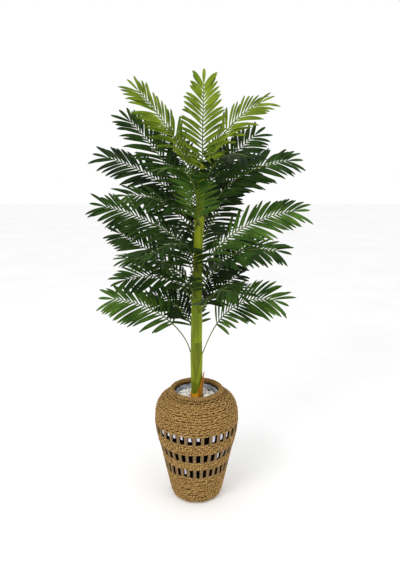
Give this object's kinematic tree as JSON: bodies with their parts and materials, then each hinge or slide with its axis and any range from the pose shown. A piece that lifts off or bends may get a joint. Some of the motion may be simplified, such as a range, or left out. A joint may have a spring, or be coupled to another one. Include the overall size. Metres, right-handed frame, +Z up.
{
  "type": "artificial areca palm in a seagrass basket",
  "caption": "Artificial areca palm with arching feather fronds, standing in a pierced seagrass basket filled with white pebbles.",
  "frame": {"origin": "centre of the basket's flat underside", "axes": "+Z up along the trunk, +X to the right and -Y towards the viewer as pictured"},
  "size_m": [0.741, 0.5787, 1.5423],
  "materials": {
    "seagrass": "matte",
    "black_plastic": "satin",
    "grey_plastic": "satin",
    "cement": "matte",
    "white_pebbles": "matte",
    "green_trunk": "satin",
    "brown_sheath": "matte",
    "young_frond": "satin",
    "dark_frond": "satin"
  },
  "bodies": {
    "root": {"basket": "seagrass", "basket_rim": "seagrass", "collar": "grey_plastic", "inner_pot": "black_plastic", "fill": "cement", "pebbles": "white_pebbles", "trunk": "green_trunk", "base_sheath": "brown_sheath", "frond_top_centre": "young_frond", "frond_top_left": "young_frond", "frond_top_right": "young_frond", "frond_left_1": "dark_frond", "frond_left_2": "dark_frond", "frond_left_3": "dark_frond", "frond_left_4": "dark_frond", "frond_left_5": "dark_frond", "frond_left_6": "dark_frond", "frond_right_1": "dark_frond", "frond_right_2": "dark_frond", "frond_right_3": "dark_frond", "frond_right_4": "dark_frond", "frond_right_5": "dark_frond", "frond_right_6": "dark_frond", "frond_front_1": "dark_frond", "frond_front_3": "dark_frond", "frond_front_left_2": "dark_frond", "frond_front_left_4": "dark_frond", "frond_front_right_1": "dark_frond", "frond_front_right_5": "dark_frond", "frond_back_1": "dark_frond", "frond_back_2": "dark_frond", "frond_back_3": "dark_frond", "frond_back_4": "dark_frond", "frond_back_5": "dark_frond", "frond_back_6": "dark_frond", "frond_back_left_2": "dark_frond", "frond_back_left_5": "dark_frond", "frond_back_right_1": "dark_frond", "frond_back_right_2": "dark_frond", "frond_back_right_3": "dark_frond", "frond_back_top": "dark_frond"}
  },
  "joints": []
}
